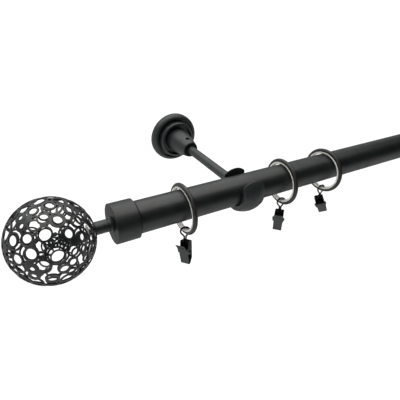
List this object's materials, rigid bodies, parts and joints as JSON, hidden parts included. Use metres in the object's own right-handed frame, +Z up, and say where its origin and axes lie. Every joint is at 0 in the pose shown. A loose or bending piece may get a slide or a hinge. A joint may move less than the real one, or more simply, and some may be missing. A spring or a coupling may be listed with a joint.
{
  "type": "curtain rod with brackets",
  "caption": "Round dark metal curtain pole with openwork ball ends, carried in cups on wall brackets, with lined rings that hold curtain clips.",
  "frame": {"origin": "centre of the left bracket's wall face", "axes": "+X along the pole to the right, +Y into the wall, +Z up"},
  "size_m": [1.148, 0.1627, 0.0827],
  "materials": {
    "pole_paint": "satin powder coat",
    "bracket_paint": "satin powder coat",
    "ball_paint": "satin powder coat",
    "ring_paint": "satin powder coat",
    "nylon": "translucent pale grey nylon",
    "clip_wire": "black lacquer",
    "clip_black": "black lacquer",
    "clip_grey": "satin lacquer",
    "black_plastic": "moulded",
    "black_steel": "blackened",
    "zinc_steel": "zinc plated"
  },
  "bodies": {
    "wall_mounts": {"wall_plate_left": "zinc_steel", "rosette_left": "bracket_paint", "arm_bush_left": "black_plastic", "wall_plate_right": "zinc_steel", "rosette_right": "bracket_paint", "arm_bush_right": "black_plastic", "rosette_screws": "black_steel"},
    "left_bracket": {"bracket_arm_left": "bracket_paint", "cup_left": "bracket_paint", "cup_screw_left": "black_steel"},
    "right_bracket": {"bracket_arm_right": "bracket_paint", "cup_right": "bracket_paint", "cup_screw_right": "black_steel"},
    "rod": {"pole": "pole_paint", "end_cap_left": "bracket_paint", "finial_stem_left": "bracket_paint", "openwork_ball_left": "ball_paint", "end_cap_right": "bracket_paint", "finial_stem_right": "bracket_paint", "openwork_ball_right": "ball_paint", "cap_screws": "black_steel", "ball_screws": "zinc_steel", "ball_washers": "zinc_steel"},
    "ring_1_body": {"ring_1": "ring_paint", "ring_liner_1": "nylon"},
    "eye_1_body": {"clip_eye_1": "clip_wire"},
    "clip_1_body": {"clip_back_1": "clip_black", "clip_pin_1": "clip_wire", "clip_spring_1": "clip_wire"},
    "jaw_1_body": {"clip_jaw_1": "clip_grey"},
    "ring_2_body": {"ring_2": "ring_paint", "ring_liner_2": "nylon"},
    "eye_2_body": {"clip_eye_2": "clip_wire"},
    "clip_2_body": {"clip_back_2": "clip_black", "clip_pin_2": "clip_wire", "clip_spring_2": "clip_wire"},
    "jaw_2_body": {"clip_jaw_2": "clip_grey"},
    "ring_3_body": {"ring_3": "ring_paint", "ring_liner_3": "nylon"},
    "eye_3_body": {"clip_eye_3": "clip_wire"},
    "clip_3_body": {"clip_back_3": "clip_black", "clip_pin_3": "clip_wire", "clip_spring_3": "clip_wire"},
    "jaw_3_body": {"clip_jaw_3": "clip_grey"},
    "ring_4_body": {"ring_4": "ring_paint", "ring_liner_4": "nylon"},
    "eye_4_body": {"clip_eye_4": "clip_wire"},
    "clip_4_body": {"clip_back_4": "clip_black", "clip_pin_4": "clip_wire", "clip_spring_4": "clip_wire"},
    "jaw_4_body": {"clip_jaw_4": "clip_grey"},
    "ring_5_body": {"ring_5": "ring_paint", "ring_liner_5": "nylon"},
    "eye_5_body": {"clip_eye_5": "clip_wire"},
    "clip_5_body": {"clip_back_5": "clip_black", "clip_pin_5": "clip_wire", "clip_spring_5": "clip_wire"},
    "jaw_5_body": {"clip_jaw_5": "clip_grey"}
  },
  "joints": [
    {"name": "left_projection", "type": "slide", "parent": "wall_mounts", "child": "left_bracket", "axis": [0, -1, 0], "range_m": [-0.012, 0.012]},
    {"name": "right_projection", "type": "slide", "parent": "wall_mounts", "child": "right_bracket", "axis": [0, -1, 0], "range_m": [-0.012, 0.012]},
    {"name": "rod_lift", "type": "slide", "parent": "left_bracket", "child": "rod", "axis": [0, 0, 1], "range_m": [0, 0.04]},
    {"name": "ring_1_slide", "type": "slide", "parent": "rod", "child": "ring_1_body", "axis": [1, 0, 0], "range_m": [-0.034, 0.03]},
    {"name": "eye_1_swing", "type": "hinge", "parent": "ring_1_body", "child": "eye_1_body", "pos_m": [-0.05687, -0.1366, -0.02175], "axis": [0.0086, -0.9816, 0.1908], "range_deg": [-20, 20]},
    {"name": "clip_1_tilt", "type": "hinge", "parent": "eye_1_body", "child": "clip_1_body", "pos_m": [-0.05687, -0.1366, -0.03345], "axis": [0.4849, -0.8571, 0.1736], "range_deg": [-20, 20]},
    {"name": "jaw_1_open", "type": "hinge", "parent": "clip_1_body", "child": "jaw_1_body", "pos_m": [-0.05838, -0.1387, -0.03961], "axis": [-0.4849, 0.8571, -0.1736], "range_deg": [0, 25], "stiffness_Nm_per_rad": 0.05, "springref_deg": -17.19},
    {"name": "ring_2_slide", "type": "slide", "parent": "rod", "child": "ring_2_body", "axis": [1, 0, 0], "range_m": [-0.028, 0.033]},
    {"name": "eye_2_swing", "type": "hinge", "parent": "ring_2_body", "child": "eye_2_body", "pos_m": [0.04291, -0.1366, -0.02175], "axis": [-0.0257, -0.9813, 0.1908], "range_deg": [-20, 20]},
    {"name": "clip_2_tilt", "type": "hinge", "parent": "eye_2_body", "child": "clip_2_body", "pos_m": [0.04291, -0.1366, -0.03345], "axis": [0.6689, -0.7429, 0.0262], "range_deg": [-20, 20]},
    {"name": "jaw_2_open", "type": "hinge", "parent": "clip_2_body", "child": "jaw_2_body", "pos_m": [0.0416, -0.138, -0.03985], "axis": [-0.6689, 0.7429, -0.0262], "range_deg": [0, 25], "stiffness_Nm_per_rad": 0.05, "springref_deg": -17.19},
    {"name": "ring_3_slide", "type": "slide", "parent": "rod", "child": "ring_3_body", "axis": [1, 0, 0], "range_m": [-0.033, 0.587]},
    {"name": "eye_3_swing", "type": "hinge", "parent": "ring_3_body", "child": "eye_3_body", "pos_m": [0.09482, -0.13529, -0.02196], "axis": [0.0951, -0.988, 0.1219], "range_deg": [-15, 15]},
    {"name": "clip_3_tilt", "type": "hinge", "parent": "eye_3_body", "child": "clip_3_body", "pos_m": [0.09482, -0.13529, -0.03366], "axis": [0.6681, -0.623, 0.4067], "range_deg": [-15, 15]},
    {"name": "jaw_3_open", "type": "hinge", "parent": "clip_3_body", "child": "jaw_3_body", "pos_m": [0.09722, -0.13667, -0.03973], "axis": [-0.6681, 0.623, -0.4067], "range_deg": [0, 25], "stiffness_Nm_per_rad": 0.05, "springref_deg": -17.19},
    {"name": "ring_4_slide", "type": "slide", "parent": "rod", "child": "ring_4_body", "axis": [1, 0, 0], "range_m": [-0.587, 0.052]},
    {"name": "eye_4_swing", "type": "hinge", "parent": "ring_4_body", "child": "eye_4_body", "pos_m": [0.7, -0.133, -0.0221], "axis": [-0.0523, -0.9986, 0], "range_deg": [-20, 20]},
    {"name": "clip_4_tilt", "type": "hinge", "parent": "eye_4_body", "child": "clip_4_body", "pos_m": [0.7, -0.133, -0.0338], "axis": [0.9659, 0.2588, 0], "range_deg": [-20, 20]},
    {"name": "jaw_4_open", "type": "hinge", "parent": "clip_4_body", "child": "jaw_4_body", "pos_m": [0.70026, -0.13397, -0.0404], "axis": [-0.9659, -0.2588, 0], "range_deg": [0, 25], "stiffness_Nm_per_rad": 0.05, "springref_deg": -17.19},
    {"name": "ring_5_slide", "type": "slide", "parent": "rod", "child": "ring_5_body", "axis": [1, 0, 0], "range_m": [-0.041, 0.035]},
    {"name": "eye_5_swing", "type": "hinge", "parent": "ring_5_body", "child": "eye_5_body", "pos_m": [0.832, -0.133, -0.0221], "axis": [0.0349, -0.9994, 0], "range_deg": [-20, 20]},
    {"name": "clip_5_tilt", "type": "hinge", "parent": "eye_5_body", "child": "clip_5_body", "pos_m": [0.832, -0.133, -0.0338], "axis": [0.9781, -0.2079, 0], "range_deg": [-20, 20]},
    {"name": "jaw_5_open", "type": "hinge", "parent": "clip_5_body", "child": "jaw_5_body", "pos_m": [0.83179, -0.13398, -0.0404], "axis": [-0.9781, 0.2079, 0], "range_deg": [0, 25], "stiffness_Nm_per_rad": 0.05, "springref_deg": -17.19}
  ],
  "couplings": [
    {"joint": "right_projection", "follows": "left_projection", "ratio": 1}
  ]
}
